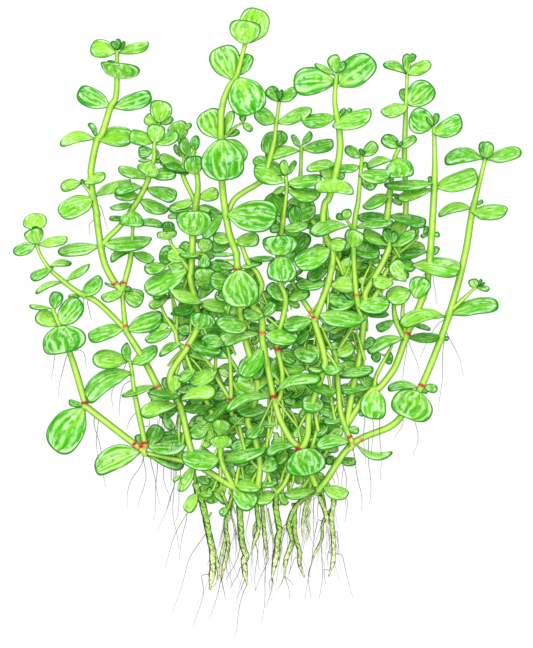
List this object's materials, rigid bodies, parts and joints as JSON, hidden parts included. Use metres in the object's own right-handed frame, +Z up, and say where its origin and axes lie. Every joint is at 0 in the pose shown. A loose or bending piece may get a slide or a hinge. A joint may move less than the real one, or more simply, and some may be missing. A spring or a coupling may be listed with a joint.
{
  "type": "variegated lindernia rotundifolia bunch",
  "caption": "Bushy bunch of a round-leaved variegated water plant with opposite leaves, branching stems and hair roots, laid flat as picked.",
  "frame": {"origin": "centre of the bottom of the bounding box, on the surface that the bunch lies on", "axes": "+X to the right of the bunch seen from above with its roots towards the viewer, +Y from the root tips to the shoot tips, +Z up from the surface"},
  "size_m": [0.1733, 0.2153, 0.0313],
  "materials": {
    "variegated_leaf": "soft satin leaf skin, bright green with a darker margin and pale veins running from base to tip",
    "plain_leaf": "soft satin leaf skin, mid to olive green with faint veins",
    "stem": "smooth juicy yellow-green stem with a pale middle and pink-red forks",
    "root": "dull yellow-green rooting stem with dark scars, and thin grey hair roots"
  },
  "bodies": {
    "root": {"foliage_centre_low": "plain_leaf", "foliage_centre_top": "plain_leaf", "foliage_left_low": "plain_leaf", "foliage_left_top": "plain_leaf", "foliage_right": "plain_leaf", "hair_roots_bottom": "root", "hair_roots_left": "root", "hair_roots_right": "root", "leaf_centre_drooping": "variegated_leaf", "leaf_centre_low": "variegated_leaf", "leaf_centre_short_front": "plain_leaf", "leaf_left_centre_front": "plain_leaf", "leaf_left_corner_broad": "variegated_leaf", "leaf_left_corner_tip": "variegated_leaf", "leaf_left_corner_top": "variegated_leaf", "leaf_left_lower_right": "variegated_leaf", "leaf_left_outer_low": "variegated_leaf", "leaf_left_outer_pair_left": "variegated_leaf", "leaf_left_outer_pair_right": "variegated_leaf", "leaf_left_upper_tip": "plain_leaf", "leaf_right_back_top": "variegated_leaf", "leaf_right_middle_top": "variegated_leaf", "leaf_right_outer_broad": "variegated_leaf", "leaf_right_outer_inner": "variegated_leaf", "leaf_right_outer_low": "variegated_leaf", "leaf_right_outer_tip": "variegated_leaf", "leaf_right_tall_inner": "variegated_leaf", "leaf_right_tall_outer": "variegated_leaf", "leaf_runner_left": "variegated_leaf", "leaf_tall_back": "variegated_leaf", "leaf_tall_broad": "variegated_leaf", "leaf_tall_front": "variegated_leaf", "leaf_tall_left": "variegated_leaf", "leaf_top_back": "variegated_leaf", "leaf_top_front": "variegated_leaf", "rooting_stem_centre": "root", "rooting_stem_left": "root", "rooting_stem_left_centre": "root", "rooting_stem_right": "root", "rooting_stem_right_centre": "root", "runner_left": "stem", "runner_left_upper": "stem", "stem_centre_back": "stem", "stem_centre_front": "stem", "stem_centre_short": "stem", "stem_centre_slim": "stem", "stem_centre_tall": "stem", "stem_left_centre": "stem", "stem_left_corner": "stem", "stem_left_inner": "stem", "stem_left_lower": "stem", "stem_left_outer": "stem", "stem_left_short": "stem", "stem_left_side": "stem", "stem_right_back": "stem", "stem_right_inner": "stem", "stem_right_middle": "stem", "stem_right_outer": "stem", "stem_right_short": "stem", "stem_right_tall": "stem"}
  },
  "joints": []
}
